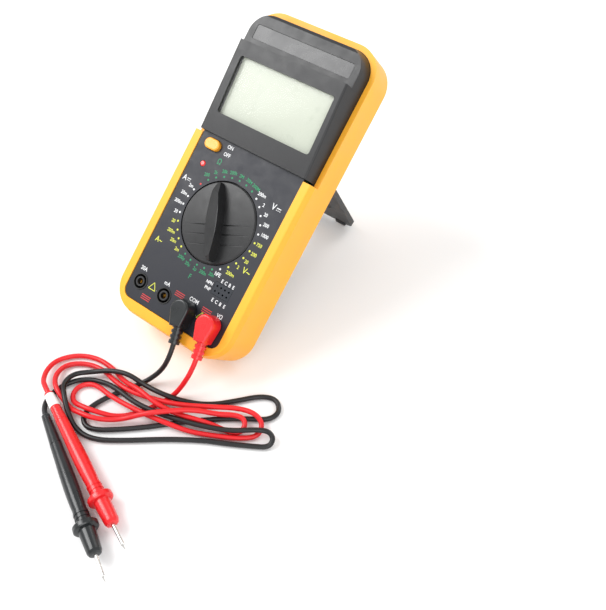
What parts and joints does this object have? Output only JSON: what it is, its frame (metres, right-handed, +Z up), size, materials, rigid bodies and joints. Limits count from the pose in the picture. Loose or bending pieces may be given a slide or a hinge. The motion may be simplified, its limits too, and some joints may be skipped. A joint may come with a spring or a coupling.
{
  "type": "digital multimeter",
  "caption": "Hand-held digital multimeter in a rubber holster, standing on its fold-out tilt stand, with plug-in test leads and probes laid in front.",
  "frame": {"origin": "on the surface, at the centre of the footprint of the leaning meter and its open stand, leads left out", "axes": "+Z up, -Y towards the user and the meter's lower edge, +X to the meter's right as its face is read"},
  "size_m": [0.1423, 0.2944, 0.1472],
  "materials": {
    "holster_rubber": "matte moulded rubber",
    "case_plastic": "fine satin texture",
    "stand_plastic": "satin",
    "foot_rubber": "matte",
    "name_plate": "smooth blank plate",
    "panel_print": "printed film, low sheen",
    "clear_window": "clear polished plastic",
    "display_glass": "grey-green display, blank",
    "inner_plastic": "moulded",
    "soft_rubber": "soft conductive strip",
    "board": "solder mask",
    "steel": "zinc plated",
    "chip_plastic": "moulded",
    "components": "mixed small parts",
    "fuse_glass": "clear tube",
    "plated_brass": "plated",
    "copper_alloy": "drawn wire",
    "shield": "foil",
    "socket_plastic": "moulded",
    "lamp": "clear coloured dome",
    "button_plastic": "smooth",
    "knob_plastic": "satin",
    "rotor_plastic": "moulded, natural",
    "polished_steel": "polished",
    "battery_jacket": "plain printed jacket",
    "wire_jacket": "flexible",
    "black_gloss": "moulded, slight sheen",
    "red_gloss": "moulded, slight sheen",
    "plated_pin": "bright nickel plate",
    "black_lead": "flexible jacket",
    "red_lead": "flexible jacket",
    "paper": "plain white paper label"
  },
  "bodies": {
    "meter": {"battery": "battery_jacket", "battery_door": "case_plastic", "battery_snap": "inner_plastic", "battery_wires": "wire_jacket", "black_lead": "black_lead", "black_plug": "black_gloss", "black_plug_pin": "plated_pin", "black_probe_cap": "black_gloss", "black_probe_handle": "black_gloss", "black_probe_tip": "plated_pin", "board_components": "components", "board_screws": "steel", "buzzer": "chip_plastic", "case_screws": "steel", "circuit_board": "board", "controller_chip": "chip_plastic", "detent_ring": "rotor_plastic", "display_board": "board", "display_window": "clear_window", "door_screw": "steel", "face_panel": "panel_print", "front_cover": "case_plastic", "fuse": "fuse_glass", "fuse_clips": "plated_brass", "holster": "holster_rubber", "jack_insulators": "inner_plastic", "jack_sockets": "plated_brass", "lcd_frame": "inner_plastic", "lcd_glass": "display_glass", "name_plate": "name_plate", "power_lamp": "lamp", "power_switch": "inner_plastic", "probe_label": "paper", "rear_cover": "case_plastic", "red_lead": "red_lead", "red_plug": "red_gloss", "red_plug_pin": "plated_pin", "red_probe_cap": "red_gloss", "red_probe_handle": "red_gloss", "red_probe_tip": "plated_pin", "shield_plate": "shield", "shunt_wire": "copper_alloy", "transistor_socket": "socket_plastic", "zebra_strips": "soft_rubber"},
    "knob": {"range_knob": "knob_plastic", "wiper_rotor": "rotor_plastic", "rotor_screw": "steel", "wiper_contacts": "plated_brass", "detent_springs": "steel", "detent_balls": "polished_steel"},
    "button": {"power_button": "button_plastic", "switch_plunger": "inner_plastic"},
    "stand": {"tilt_stand": "stand_plastic", "stand_feet": "foot_rubber"}
  },
  "joints": [
    {"name": "knob_turn", "type": "hinge", "parent": "meter", "child": "knob", "pos_m": [0.0004, -0.0296, 0.06889], "axis": [0, -0.6361, 0.7716], "continuous": true},
    {"name": "button_press", "type": "slide", "parent": "meter", "child": "button", "axis": [0, 0.6361, -0.7716], "range_m": [0, 0.0025], "stiffness_N_per_m": 400},
    {"name": "stand_fold", "type": "hinge", "parent": "meter", "child": "stand", "pos_m": [0, 0.0315, 0.08375], "axis": [-1, 0, 0], "range_deg": [0, 77.95]}
  ]
}
